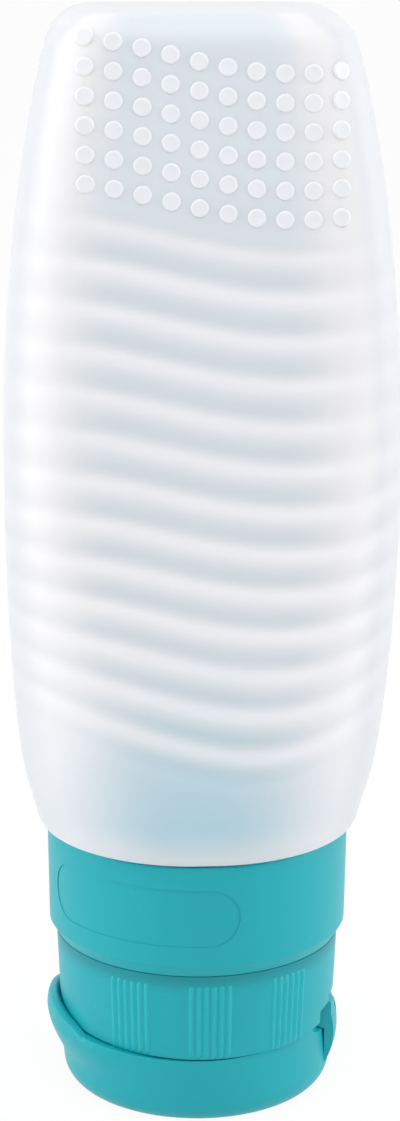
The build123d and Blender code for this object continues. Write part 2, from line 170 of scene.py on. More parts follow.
@dataclass(frozen=True)
class FinishNodes:
    """The nodes of one finish, with short calls that add nodes and feed their inputs."""

    tree: bpy.types.NodeTree

    def feed(self, node: bpy.types.Node, feeds: Feeds) -> bpy.types.Node:
        """Links or sets a node's inputs.

        Args:
            node: The node.
            feeds: A socket to link or a constant to set, by the input's name or number.

        Returns:
            The same node.
        """
        for key, value in feeds.items():
            socket = node.inputs[key]
            if isinstance(value, Socket):
                self.tree.links.new(value, socket)
            elif socket.type == "RGBA":
                socket.default_value = (*value, 1.0)
            else:
                socket.default_value = value
        return node

    def add(
        self, kind: str, feeds: Feeds, **settings: str | bpy.types.NodeTree
    ) -> bpy.types.Node:
        """Adds a node.

        Args:
            kind: Its type, without the ShaderNode in front.
            feeds: What its inputs get.
            settings: Its own settings by name.

        Returns:
            The node.
        """
        node = self.tree.nodes.new(f"ShaderNode{kind}")
        for name, value in settings.items():
            setattr(node, name, value)
        return self.feed(node, feeds)

    def math(self, operation: str, *values: float | Socket) -> Socket:
        """Adds a sum of one kind and returns its result."""
        return self.add("Math", dict(enumerate(values)), operation=operation).outputs[0]

    def mix(self, share: Socket, first: Colour | Socket, second: Colour | Socket) -> Socket:
        """Mixes two colours and returns the result."""
        feeds = {"Factor": share, "A": first, "B": second}
        return self.add("Mix", feeds, data_type="RGBA").outputs["Result"]

    def noise(self, place: Socket, scale: float | Socket, detail: float) -> Socket:
        """Adds a noise texture and returns its value."""
        feeds = {"Vector": place, "Scale": scale, "Detail": detail}
        return self.add("TexNoise", feeds).outputs["Fac"]

    def axis(self, axis: str, space: str = "Object") -> Socket:
        """Reads one axis of the place that is shaded."""
        place = self.add("TexCoord", {}).outputs[space]
        return self.add("SeparateXYZ", {"Vector": place}).outputs[axis]

    def attribute(self, name: str) -> Socket:
        """Reads one of the piece's own attributes."""
        return self.add("Attribute", {}, attribute_name=name).outputs["Fac"]

    def ramp(
        self,
        value: Socket,
        start: float,
        end: float,
        low: float = 0.0,
        high: float = 1.0,
        kind: str = "SMOOTHSTEP",
    ) -> Socket:
        """Maps a value between two others.

        Args:
            value: The value.
            start: Where the ramp is low.
            end: Where it is high.
            low: Its low result.
            high: Its high result.
            kind: How it runs between them.

        Returns:
            The result.
        """
        feeds = {"Value": value, "From Min": start, "From Max": end, "To Min": low, "To Max": high}
        return self.add("MapRange", feeds, interpolation_type=kind).outputs["Result"]

    def bump(self, height: Socket, strength: float, distance: float) -> Socket:
        """Turns a height into a normal. The distance is in millimetres."""
        feeds = {"Height": height, "Strength": strength, "Distance": distance * MM}
        return self.add("Bump", feeds).outputs["Normal"]

    def seen_rays(self) -> Socket:
        """Joins the rays that show a surface: camera, glossy and transmission rays.

        Returns:
            The socket that is 1 for such rays.
        """
        rays = self.add("LightPath", {}).outputs
        either = self.math("MAXIMUM", rays["Is Camera Ray"], rays["Is Glossy Ray"])
        return self.math("MAXIMUM", either, rays["Is Transmission Ray"])

    def shade(self, feeds: Feeds) -> bpy.types.Node:
        """Feeds the material's shader and returns it."""
        return self.feed(self.tree.nodes["Principled BSDF"], feeds)


def new_material(name: str) -> tuple[bpy.types.Material, FinishNodes]:
    """Starts a material.

    Args:
        name: Its name.

    Returns:
        The material and its nodes.
    """
    material = bpy.data.materials.new(name)
    material.use_nodes = True
    return material, FinishNodes(material.node_tree)


@dataclass(frozen=True)
class MouldedSkin:
    """Fine skin that every moulded piece shows: faint tone drift, satin grain, tiny dust."""

    name: str = "moulded_skin"
    inputs: tuple[tuple[str, str, float | tuple[float, ...]], ...] = (
        ("Color", "Colour", (0.5, 0.5, 0.5, 1.0)),
        ("Color", "Drift colour", (0.4, 0.4, 0.4, 1.0)),
        ("Float", "Drift", 0.3),
        ("Float", "Grain size", 9000.0),
        ("Float", "Roughness", 0.4),
        ("Float", "Roughness spread", 0.06),
        ("Float", "Dust", 0.2),
    )
    outputs: tuple[tuple[str, str], ...] = (
        ("Color", "Colour"),
        ("Float", "Roughness"),
        ("Float", "Height"),
    )
    drift_scale: float = 55.0
    drift_detail: float = 3.0
    fine_detail: float = 2.0
    speck_scale: float = 900.0
    speck_low: float = 0.7
    speck_high: float = 0.78
    dust_colour: Colour = (0.82, 0.85, 0.86)

    def start(self) -> bpy.types.NodeTree:
        """Starts the group with its named sockets.

        Returns:
            The group's tree.
        """
        tree = bpy.data.node_groups.new(self.name, "ShaderNodeTree")
        sockets = tree.interface
        for kind, label, value in self.inputs:
            socket = sockets.new_socket(label, in_out="INPUT", socket_type=f"NodeSocket{kind}")
            socket.default_value = value
        for kind, label in self.outputs:
            sockets.new_socket(label, in_out="OUTPUT", socket_type=f"NodeSocket{kind}")
        return tree

    def build(self) -> bpy.types.NodeTree:
        """Builds the group once.

        Returns:
            The node group, with Colour, Roughness and Height outputs.
        """
        if self.name in bpy.data.node_groups:
            return bpy.data.node_groups[self.name]
        nodes = FinishNodes(self.start())
        given = nodes.tree.nodes.new("NodeGroupInput").outputs
        result = nodes.tree.nodes.new("NodeGroupOutput")
        place = nodes.add("TexCoord", {}).outputs["Object"]
        drift = nodes.noise(place, self.drift_scale, self.drift_detail)
        amount = nodes.math("MULTIPLY", drift, given["Drift"])
        tone = nodes.mix(amount, given["Colour"], given["Drift colour"])
        specks = nodes.noise(place, self.speck_scale, self.fine_detail)
        few = nodes.ramp(specks, self.speck_low, self.speck_high, kind="LINEAR")
        dust = nodes.math("MULTIPLY", few, given["Dust"])
        spread = given["Roughness spread"]
        feeds = {
            "Colour": nodes.mix(dust, tone, self.dust_colour),
            "Roughness": nodes.math("MULTIPLY_ADD", drift, spread, given["Roughness"]),
            "Height": nodes.noise(place, given["Grain size"], self.fine_detail),
        }
        nodes.feed(result, feeds)
        return nodes.tree

    def lay(self, nodes: FinishNodes, feeds: Feeds) -> Socket:
        """Lays the skin over a material's colour.

        Args:
            nodes: The material's nodes.
            feeds: What the skin's inputs get.

        Returns:
            The skin's height.
        """
        skin = nodes.add("Group", feeds, node_tree=self.build()).outputs
        nodes.shade({"Base Color": skin["Colour"], "Roughness": skin["Roughness"]})
        return skin["Height"]


@dataclass(frozen=True)
class PlasticFinish:
    """Satin moulded plastic."""

    name: str
    colour: Colour
    drift_colour: Colour
    roughness: float = 0.4
    gloss: float = 0.36
    grain_strength: float = 0.012
    grain_height: float = 0.1
    glow_share: float = 0.08
    glow_colour: Colour = (0.2, 0.8, 0.9)
    glow_depth: float = 1.2
    dust: float = 0.15
    # Painted shade: a darker teal band on the cap just under the label ring.
    painted_shade: float = 0.0
    painted_shade_low: float = 18.2
    painted_shade_high: float = 20.8
    painted_shade_colour: Colour = (0.003, 0.2, 0.24)

    def paint_shade_under_ring(self, nodes: FinishNodes) -> Socket:
        """Paints shade on the band under the label ring, where the ring's overhang shades the cap.

        Args:
            nodes: The material's nodes.

        Returns:
            The colour.
        """
        low, high = self.painted_shade_low * MM, self.painted_shade_high * MM
        near = nodes.ramp(nodes.axis("Z"), low, high, high=self.painted_shade)
        return nodes.mix(near, self.colour, self.painted_shade_colour)

    def build(self) -> bpy.types.Material:
        """Builds the material once.

        Returns:
            The finished material.
        """
        if self.name in bpy.data.materials:
            return bpy.data.materials[self.name]
        material, nodes = new_material(self.name)
        skin = {
            "Colour": self.paint_shade_under_ring(nodes) if self.painted_shade else self.colour,
            "Drift colour": self.drift_colour,
            "Roughness": self.roughness,
            "Dust": self.dust,
        }
        height = MouldedSkin().lay(nodes, skin)
        shader = {
            "Normal": nodes.bump(height, self.grain_strength, self.grain_height),
            "Specular IOR Level": self.gloss,
            "Subsurface Weight": self.glow_share,
            "Subsurface Radius": self.glow_colour,
            "Subsurface Scale": self.glow_depth * MM,
        }
        nodes.shade(shader)
        return material


@dataclass(frozen=True)
class SiliconeFinish:
    """Milky translucent silicone: whiter where it is thick and where highlights are painted, darker
    where shade is painted, tinted where teal lies behind it.
    """

    name: str
    thin: Colour
    thick: Colour
    behind: Colour
    roughness: float = 0.4
    refraction: float = 1.41
    subsurface: float = 0.3
    subsurface_radius: Colour = (1.0, 1.0, 1.0)
    subsurface_depth: float = 1.2
    transmission: float = 0.08
    drift: float = 0.12
    dust: float = 0.05
    grain_strength: float = 0.03
    grain_height: float = 0.2
    parting_line: bool = True
    line_edge: float = 0.16
    line_core: float = 0.04
    line_height: float = 6.0

    def seam(self, nodes: FinishNodes) -> Socket:
        """Mask of the mould's parting line, which runs up both sides and over the base end."""
        far = nodes.math("ABSOLUTE", nodes.axis("Y"))
        return nodes.ramp(far, self.line_edge * MM, self.line_core * MM)

    def build(self) -> bpy.types.Material:
        """Builds the material once.

        Returns:
            The finished material.
        """
        if self.name in bpy.data.materials:
            return bpy.data.materials[self.name]
        material, nodes = new_material(self.name)
        # The milkiness attribute mixes thin to thick colour; on the bottle it also carries painted
        # highlights and painted shade.
        milk = nodes.mix(nodes.attribute("milkiness_and_painted_light"), self.thin, self.thick)
        skin = {
            "Colour": nodes.mix(nodes.attribute("show_through"), milk, self.behind),
            "Drift colour": self.thin,
            "Drift": self.drift,
            "Roughness": self.roughness,
            "Dust": self.dust,
        }
        height = MouldedSkin().lay(nodes, skin)
        if self.parting_line:
            height = nodes.math("MULTIPLY_ADD", self.seam(nodes), self.line_height, height)
        shader = {
            "Normal": nodes.bump(height, self.grain_strength, self.grain_height),
            "IOR": self.refraction,
            "Subsurface Weight": self.subsurface,
            "Subsurface Radius": self.subsurface_radius,
            "Subsurface Scale": self.subsurface_depth * MM,
            "Transmission Weight": self.transmission,
        }
        nodes.shade(shader)
        return material


TEAL_COLOUR: Colour = (0.003, 0.4, 0.46)
TEAL_DRIFT: Colour = (0.002, 0.365, 0.42)
TEAL = PlasticFinish("satin_teal_plastic", TEAL_COLOUR, TEAL_DRIFT, dust=0.03)
# The cap's teal has a painted shade band just under the label ring.
SHADED_CAP_TEAL = PlasticFinish("satin_teal_cap", TEAL_COLOUR, TEAL_DRIFT, dust=0.03, painted_shade=0.7)
# Painted highlight: the grip ribs get a lighter teal than the cap, as if lit more.
LIT_RIB_TEAL = PlasticFinish("rubbed_teal_ribs", (0.007, 0.455, 0.515), (0.004, 0.415, 0.47), dust=0.03)
MILK: tuple[Colour, ...] = ((0.745, 0.765, 0.805), (0.985, 0.975, 1.0), (0.47, 0.71, 0.81))
MILKY = SiliconeFinish("milky_silicone_skin", *MILK)
DOTS = SiliconeFinish(
    "milky_silicone_dots", *MILK, subsurface=0.06, transmission=0.0, parting_line=False
)
SEAL_THIN: Colour = (0.74, 0.78, 0.79)
SEAL_THICK: Colour = (0.86, 0.88, 0.89)
SEAL = SiliconeFinish("seal_silicone_skin", SEAL_THIN, SEAL_THICK, SEAL_THIN, parting_line=False)


def dress(piece: Piece, finish: PlasticFinish | SiliconeFinish) -> None:
    """Gives a piece one finish and logs it.

    Args:
        piece: The piece.
        finish: Its finish.
    """
    piece.data.materials.clear()
    piece.data.materials.append(finish.build())
    log.info("%s: %s, %d faces", piece.name, finish.name, len(piece.data.polygons))


@dataclass(frozen=True)
class Row:
    """One ring of the bottle's skin."""

    points: Outline
    height: float
    wide: float
    corner_start: float = 0.0
    corner: float = 1.0
    ribbed: bool = False


@dataclass
class SiliconeBottle:
    """The soft bottle: a hollow shell with wave ribs, and low dots near its base end."""

    shoulder: float = 35.9
    reach: float = 103.8
    half_width: float = 24.55
    half_depth: float = 19.9
    shoulder_round: float = 0.9
    shoulder_drop: float = -0.15
    wall: float = 2.0
    base_round: float = 4.0
    base_dish: float = 0.45
    neck_base: float = 22.65
    neck_outside: float = 16.8
    neck_inside: float = 15.2
    around: int = 320
    widths: tuple[float, ...] = (
        0.839, 0.918, 0.956, 0.978, 0.991, 0.998, 0.997, 0.983, 0.959, 0.923, 0.873, 0.807, 0.729,
    )
    depths: tuple[float, ...] = (
        1.0, 1.0, 0.99, 0.968, 0.94, 0.912, 0.878, 0.84, 0.798, 0.752, 0.702, 0.646, 0.588,
    )
    corners: tuple[float, ...] = (
        0.985, 0.9, 0.8, 0.7, 0.62, 0.56, 0.52, 0.5, 0.49, 0.48, 0.48, 0.5, 0.53,
    )
    wave_height: float = 2.4
    wave_length: float = 63.5
    wave_low: float = 10.9
    wave_smile: float = 3.3
    wave_smile_width: float = 18.6
    wave_smile_low: float = 13.2
    wave_smile_high: float = 44.6
    rib_first: float = 113.85
    rib_pitch: float = 5.14
    rib_count: int = 13
    rib_relief: float = 0.38
    rib_sink: float = 0.75
    rib_corner_fade: float = 0.6
    rib_fades: tuple[float, float, float] = (0.6, 0.9, 0.1)
    side_fade: float = 0.3
    side_zone: Span = (0.48, 0.72)
    side_rise: Span = (38.0, 60.0)
    high_fade: float = 0.15
    high_rise: Span = (35.0, 60.0)
    rib_skew: float = 0.307
    rib_tone_shift: float = 0.2
    rib_step: float = 0.53
    rib_end: float = 122.0
    plain_step: float = 0.9
    end_shares: tuple[float, ...] = (0.94, 0.86, 0.76, 0.62, 0.45, 0.28, 0.12)
    end_milk: float = 0.45
    end_show: float = 0.06
    end_inset: Span = (0.13, 0.21)
    strip_middle: float = 0.735
    strip_shift: float = 1.0
    strip_fade: Span = (2.0, 26.0)
    low_zone: Span = (26.0, 54.0)
    panel_milk: float = 0.53
    panel_fade: Span = (0.0, 24.0)
    panel_show: float = 0.25
    dot_zone: tuple[float, float, float, float] = (116.0, 121.0, 129.0, 135.0)
    dot_zone_milk: float = 0.14
    crest_milk_and_highlight: float = 0.24
    tint_shift: float = 1.5
    tint_width: Span = (2.0, 20.0)
    tint_start: Span = (0.5, 5.5)
    tint_low: float = 6.0
    tint_reach: float = 36.0
    tint_power: float = 1.45
    tint_share: float = 0.95
    dot_first: float = 135.25
    dot_row_pitch: float = 3.4
    dot_column_pitch: float = 3.38
    dot_middle: float = 0.7
    dot_rows: int = 6
    dot_columns: int = 10
    dot_radius: float = 1.12
    dot_height: float = 0.17
    dot_root: float = 0.3
    dot_segments: int = 18
    dot_bevel: float = 0.2
    dot_sink: float = 0.03
    dot_tone_middle: float = 0.5
    dot_tone_rim: float = 0.85
    dot_show: float = 0.08

    def table(self, values: tuple[float, ...], height: float) -> float:
        """Reads a table of evenly spaced values with a smooth curve through them.

        Args:
            values: Values from the shoulder to the base end.
            height: Height in millimetres.

        Returns:
            The value at that height.
        """
        place = (height - self.shoulder) / self.reach * (len(values) - 1)
        place = min(max(place, 0.0), len(values) - 1.0)
        left = min(int(place), len(values) - 2)
        share = place - left
        before = values[max(left - 1, 0)]
        low, high = values[left], values[left + 1]
        after = values[min(left + 2, len(values) - 1)]
        start, end = (high - before) / 2, (after - low) / 2
        square, cube = share * share, share * share * share
        return (
            (2 * cube - 3 * square + 1) * low
            + (cube - 2 * square + share) * start
            + (3 * square - 2 * cube) * high
            + (cube - square) * end
        )

    def section(self, height: float, inset: float = 0.0) -> tuple[float, float, float]:
        """Half width, half depth and corner radius of the bottle at a height.

        Args:
            height: Height in millimetres.
            inset: How far inside the outer skin.

        Returns:
            The three sizes in millimetres.
        """
        wide = self.table(self.widths, height) * self.half_width
        deep = self.table(self.depths, height) * self.half_depth
        corner = deep * self.table(self.corners, height)
        return wide - inset, deep - inset, max(corner - inset * 0.6, 0.5)

    def outline(self, wide: float, deep: float, corner: float) -> Outline:
        """Points round a rounded rectangle, evenly spread, from the middle of the front.

        Args:
            wide: Half width.
            deep: Half depth.
            corner: Corner radius.

        Returns:
            The points in millimetres, anticlockwise from above.
        """
        corner = min(corner, wide - 0.01, deep - 0.01)
        flat_x, flat_y = wide - corner, deep - corner
        bend = corner * math.pi / 2
        quarter = flat_x + flat_y + bend
        per_quarter = self.around // 4
        first: Outline = []
        for step in range(per_quarter):
            walk = quarter * step / per_quarter
            if walk < flat_x:
                spot = (walk, -deep)
            elif walk < flat_x + bend:
                turn = (walk - flat_x) / corner
                spot = (flat_x + corner * math.sin(turn), -flat_y - corner * math.cos(turn))
            else:
                spot = (wide, walk - quarter)
            first.append(spot)
        second = [(wide, 0.0)] + [(x, -y) for x, y in reversed(first[1:])]
        right = first + second
        return right + [(-x, -y) for x, y in right]

    def front_reach(self, across: float, height: float) -> float:
        """How far the plain front skin stands out at a place.

        Args:
            across: Sideways place in millimetres.
            height: Height in millimetres.

        Returns:
            The distance from the axis plane in millimetres.
        """
        wide, deep, corner = self.section(height)
        past = abs(across) - (wide - corner)
        if past <= 0:
            return deep
        return deep - corner + math.sqrt(max(corner * corner - past * past, 0.0))

    def wave(self, across: float, height: float) -> float:
        """How far ribs and dot rows rise from level, more towards the sides of the low ribs.

        Args:
            across: Sideways place in millimetres.
            height: Height in millimetres.

        Returns:
            The rise in millimetres.
        """
        span = self.wave_smile_high - self.wave_smile_low
        low = max(self.wave_smile_high - (height - self.shoulder), 0.0) / span
        smile = self.wave_smile * min(low, 1.3) ** 1.5 * (across / self.wave_smile_width) ** 2
        turn = 2 * math.pi * (across - self.wave_low) / self.wave_length
        return smile - self.wave_height * math.cos(turn)

    def crest(self, across: float, height: float, shift: float = 0.0) -> tuple[float, float]:
        """Place on the ribs' wave profile.

        Args:
            across: Sideways place, as seen from the side that is being shaped.
            height: Height in millimetres.
            shift: How far above the crest the profile is read, in pitches.

        Returns:
            1 on a crest and -1 in a hollow, and how strong the ribs are there from 0 to 1.
        """
        level = height - self.wave(across, height) - shift * self.rib_pitch
        last = self.rib_first - self.rib_pitch * (self.rib_count - 1)
        first_end, last_start, last_end = (share * self.rib_pitch for share in self.rib_fades)
        strength = 1 - ease(level, self.rib_first, self.rib_first + first_end)
        strength *= ease(level, last - last_start, last - last_end)
        turn = 2 * math.pi * (level - self.rib_first) / self.rib_pitch
        rise = height - self.shoulder
        share = abs(across) / self.half_width
        side = ease(share, *self.side_zone) * ease(rise, *self.side_rise)
        strength *= 1 - self.side_fade * side
        strength *= 1 - self.high_fade * ease(rise, *self.high_rise)
        return math.cos(turn + self.rib_skew * (1 - math.cos(turn))), strength

    def strip(self, share: float, rise: float, strength: float, crest: float) -> float:
        """How white the bright strips up both sides are: thick silicone at the rounded corners and
        a painted highlight of the side lamps. They spread out and fade low down.

        Args:
            share: Sideways place as a share of the half width.
            rise: Height above the shoulder in millimetres.
            strength: How strong the ribs are there.
            crest: 1 on a rib's crest.

        Returns:
            The milkiness from 0 to 1.
        """
        # Painted highlight: a bright strip up each side, where the side lamps reflect off the
        # rounded corners.
        middle = self.strip_middle
        low = 1 - ease(rise, *self.low_zone)
        strip = 0.3 * ease(share, middle - 0.375, middle - 0.095)
        strip += 0.7 * ease(share, middle - 0.175, middle)
        strip -= 0.95 * ease(share, middle + 0.015, middle + 0.19)
        broad = ease(share, 0.22, 0.7) - ease(share, 0.72, 0.95)
        strip += (0.45 * broad - strip) * low
        strip *= 1 - strength * (0.05 + 0.4 * low) * (1 - crest)
        return strip * (1 - 0.65 * (1 - ease(rise, *self.strip_fade)))

    def rim(self, height: float) -> float:
        """How white the rims at both ends are: thick silicone at the shoulder, and thick silicone
        with a painted highlight along the base end's rounded edge.

        Args:
            height: Height in millimetres.

        Returns:
            The milkiness from 0 to 1.
        """
        # Painted highlight along the base end's rounded edge; the shoulder's rim is whiter as
        # thicker silicone.
        base_end = self.shoulder + self.reach
        rim = 0.05 * ease(height, base_end - 5.0, base_end - 3.0)
        rim += 0.35 * ease(height, base_end - 2.4, base_end - 1.2)
        return max(rim, 0.25 * (1 - ease(height - self.shoulder, 0.2, 2.0)))

    def panel(self, share: float, height: float, crest: float) -> float:
        """How white the panel between the strips is: rib crests are whiter from thicker silicone
        and a painted highlight, and the panel fades towards the sides as painted shade.

        Args:
            share: Sideways place as a share of the half width.
            height: Height in millimetres.
            crest: 1 on a rib's crest.

        Returns:
            The milkiness from 0 to 1.
        """
        # Painted shade: the panel loses its whiteness towards the sides.
        outer = ease(share, self.strip_middle + 0.03, self.strip_middle + 0.19)
        dots = ease(height, *self.dot_zone[:2]) * (1 - ease(height, *self.dot_zone[2:]))
        plain = (self.panel_milk + self.dot_zone_milk * dots) * (1 - outer)
        plain *= 0.35 + 0.65 * ease(height - self.shoulder, *self.panel_fade)
        # Painted highlight on rib crests, on top of their thicker silicone.
        return plain + self.crest_milk_and_highlight * (1 - 0.4 * outer) * crest

    def tint(self, across: float, share: float, rise: float, crest: float) -> float:
        """How much of the teal neck insert shows through, with a faint tint in every hollow from
        thinner silicone and painted shade between the ribs.

        Args:
            across: Sideways place, as seen from the side that is being shaped.
            share: Sideways place as a share of the half width.
            rise: Height above the shoulder in millimetres.
            crest: 1 on a rib's crest.

        Returns:
            The share from 0 to 1.
        """
        show = 1 - ease(abs(across + self.tint_shift), *self.tint_width)
        faded = min(max((rise - self.tint_low) / self.tint_reach, 0.0), 1.0)
        show *= (1 - faded) ** self.tint_power
        show *= (0.2 + 0.8 * ease(rise, *self.tint_start)) * (1 - 0.7 * crest)
        # Painted shade in the rib hollows, on top of thinner silicone there.
        hollow = self.panel_show * (1 - ease(share, self.strip_middle - 0.3, self.strip_middle))
        return max(self.tint_share * show, hollow * (1 - 0.85 * crest))

    def tones(self, across: float, row: Row) -> tuple[float, float]:
        """How milky the skin is, with painted highlights and painted shade laid into it, and how
        much the neck insert shows through it.

        Args:
            across: Sideways place, as seen from the side that is being shaped.
            row: The row of the place.

        Returns:
            Both shares, from 0 to 1.
        """
        rise = row.height - self.shoulder
        high, strength = self.crest(across, row.height)
        crest = strength * (0.5 + 0.5 * high)
        share = abs(across + self.strip_shift) / max(row.wide, 0.1)
        edge = max(self.strip(share, rise, strength, crest), self.rim(row.height))
        milk = edge + (1 - edge) * self.panel(share, row.height, crest)
        # Painted shade: the skin darkens where it turns away at the sides.
        milk *= 1 - 0.5 * ease(share, 0.97, 1.03)
        show = self.tint(across, share, rise, crest)
        inward = ease(1 - row.wide / self.section(row.height)[0], *self.end_inset)
        return milk + (self.end_milk - milk) * inward, show + (self.end_show - show) * inward

    def add_ring(self, bm: Mesh, edges: Edges, row: Row) -> Edges:
        """Extrudes the open ring of edges once and moves the copy to a new outline.

        Args:
            bm: The mesh.
            edges: The open ring's edges, in order.
            row: The new ring.

        Returns:
            The new ring's edges, in order.
        """
        milkiness_and_painted_light = bm.verts.layers.float["milkiness_and_painted_light"]
        show_through = bm.verts.layers.float["show_through"]
        grown = bmesh.ops.extrude_edge_only(bm, edges=edges)["geom"]
        verts = [v for v in grown if isinstance(v, bmesh.types.BMVert)]
        order = self.ring_order(verts, edges)
        deep = max(abs(y) for _, y in row.points)
        for vert, (x, y) in zip(order, row.points):
            side = -1.0 if y < 0 else 1.0
            vert[milkiness_and_painted_light], vert[show_through] = self.tones(x * -side, row)
            if row.ribbed:
                high, strength = self.crest(x * -side, row.height, -self.rib_tone_shift)
                lean = min(max((abs(x) - row.corner_start) / row.corner, 0.0), 1.0)
                ridge = self.rib_relief * (high - self.rib_sink) * strength
                ridge *= 1 - self.rib_corner_fade * lean
                y += side * ridge * abs(y) / deep
            vert.co = Vector((x, y, row.height)) * MM
        return [bm.edges.get(pair) for pair in zip(order, order[1:] + order[:1])]

    @staticmethod
    def ring_order(verts: Verts, edges: Edges) -> Verts:
        """Puts an extruded ring's corners in the order of the ring that it came from.

        Args:
            verts: The new corners.
            edges: The old ring's edges, in order.

        Returns:
            The new corners, in that order.
        """
        fresh = set(verts)
        order = []
        for edge, following in zip(edges, edges[1:] + edges[:1]):
            shared = edge.verts[0] if edge.verts[0] in following.verts else edge.verts[1]
            old = edge.other_vert(shared)
            linked = (e.other_vert(old) for e in old.link_edges)
            order.append(next(vert for vert in linked if vert in fresh))
        return order

    def plain(self, wide: float, deep: float, corner: float, height: float) -> Row:
        """A row without ribs."""
        corner = max(corner, 0.5)
        return Row(self.outline(wide, deep, corner), height, wide, wide - corner, corner)

    def outer_rows(self) -> list[Row]:
        """Lists the outer skin's rows.

        Returns:
            The rows, from the neck's end up to the base end.
        """
        base_end = self.shoulder + self.reach
        low = self.shoulder - self.shoulder_drop
        rows = [
            self.plain(self.neck_outside, self.neck_outside, self.neck_outside, height)
            for height in (self.neck_base + 0.3, self.shoulder - 0.1)
        ]
        rows.append(self.plain(*(self.neck_outside + 0.35,) * 3, low))
        wide, deep, corner = self.section(self.shoulder)
        for step in range(7):
            turn = math.pi / 2 * step / 6
            inset = self.shoulder_round * (1 - math.sin(turn))
            level = low + self.shoulder_round * (1 - math.cos(turn))
            rows.append(self.plain(wide - inset, deep - inset, corner - inset, level))
        height = low + self.shoulder_round + 0.3
        while height < base_end - self.base_round:
            wide, deep, corner = self.section(height)
            points = self.outline(wide, deep, corner)
            rows.append(Row(points, height, wide, wide - corner, corner, True))
            height += self.rib_step if height < self.rib_end else self.plain_step
        for step in range(10):
            turn = math.pi / 2 * step / 9
            inset = self.base_round * (1 - math.cos(turn))
            level = base_end - self.base_round * (1 - math.sin(turn))
            wide, deep, corner = self.section(level)
            rows.append(self.plain(wide - inset, deep - inset, max(corner - inset, 1.2), level))
        wide, deep, corner = self.section(base_end)
        for share in self.end_shares:
            dish = self.base_dish * (1 - ease(share, 0.6, 1.0))
            end_wide, end_deep = (wide - self.base_round) * share, (deep - self.base_round) * share
            rows.append(self.plain(end_wide, end_deep, 1.6 * share, base_end - dish))
        return rows

    def inner_rows(self) -> list[Row]:
        """Lists the hollow's rows.

        Returns:
            The rows, from the neck's end up to the base end's inside.
        """
        floor = self.shoulder + self.wall
        top = self.shoulder + self.reach - self.wall
        levels = (self.neck_base, floor - 0.4)
        rows = [self.plain(*(self.neck_inside,) * 3, height) for height in levels]
        rows.append(self.plain(*(self.neck_inside + 0.5,) * 3, floor))
        rows.append(self.plain(*(self.neck_inside + 2.4,) * 3, floor))
        steps = 26
        for step in range(1, steps + 1):
            height = floor + (top - 2.2 - floor) * step / steps
            rows.append(self.plain(*self.section(height, self.wall), height))
        wide, deep, corner = self.section(top, self.wall)
        for inset, drop in ((0.6, 0.65), (1.5, 0.15), (2.6, 0.0)):
            rows.append(self.plain(wide - inset, deep - inset, corner - inset, top - drop))
        for share in (0.5, 0.1):
            rows.append(self.plain((wide - 2.6) * share, (deep - 2.6) * share, corner * share, top))
        return rows

    def build_shell(self) -> Piece:
        """Builds the closed shell with its ribs.

        Returns:
            The shell.
        """
        bm = bmesh.new()
        bm.verts.layers.float.new("milkiness_and_painted_light")
        bm.verts.layers.float.new("show_through")
        start = bmesh.ops.create_circle(bm, segments=self.around, radius=1.0)["verts"]
        lip = self.plain(*((self.neck_inside + self.neck_outside) / 2,) * 3, self.neck_base)
        for vert, (x, y) in zip(start, lip.points):
            vert.co = Vector((x, y, self.neck_base)) * MM
        opening = [bm.edges.get((start[i - 1], start[i])) for i in range(len(start))]
        for rows in (self.outer_rows(), self.inner_rows()):
            ring = opening
            for row in rows:
                ring = self.add_ring(bm, ring, row)
            bmesh.ops.contextual_create(bm, geom=ring)
        bmesh.ops.recalc_face_normals(bm, faces=bm.faces)
        return finish_mesh("silicone_bottle", bm)

    def dot_mesh(self) -> bpy.types.Mesh:
        """Makes one low dot with a soft rim and a slightly sunk top, on the XY plane.

        Returns:
            The dot's mesh.
        """
        bm = bmesh.new()
        bmesh.ops.create_circle(
            bm, cap_ends=True, segments=self.dot_segments, radius=self.dot_radius * MM
        )
        bmesh.ops.translate(bm, verts=bm.verts, vec=(0, 0, -self.dot_root * MM))
        grown = bmesh.ops.extrude_face_region(bm, geom=bm.faces[:], use_keep_orig=True)["geom"]
        top_verts = [v for v in grown if isinstance(v, bmesh.types.BMVert)]
        rise = self.dot_root + self.dot_height
        bmesh.ops.translate(bm, verts=top_verts, vec=(0, 0, rise * MM))
        rim = [e for e in bm.edges if e.verts[0] in top_verts and e.verts[1] in top_verts]
        bmesh.ops.bevel(
            bm,
            geom=rim,
            offset=self.dot_bevel * MM,
            offset_type="OFFSET",
            segments=2,
            profile=0.5,
            affect="EDGES",
            material=-1,
        )
        flat = max(bm.faces, key=lambda f: f.calc_center_median().z)
        bmesh.ops.inset_region(
            bm, faces=[flat], thickness=self.dot_bevel * MM, depth=-self.dot_sink * MM
        )
        bmesh.ops.recalc_face_normals(bm, faces=bm.faces)
        mesh = bpy.data.meshes.new("one_dot")
        bm.to_mesh(mesh)
        bm.free()
        return mesh

    def dot_tone(self, place: Vector) -> float:
        """How milky a dot is at a place: its raised top and rim are whiter than its foot.

        Args:
            place: Place on the dot, in metres from the middle of its foot.

        Returns:
            The milkiness from 0 to 1.
        """
        rim = math.hypot(place.x, place.y) / (self.dot_radius * MM)
        lift = self.dot_tone_rim - self.dot_tone_middle
        top = self.dot_tone_middle + lift * ease(rim, 0.5, 0.9)
        return top * ease(place.z / MM, -self.dot_root, -0.2 * self.dot_root)

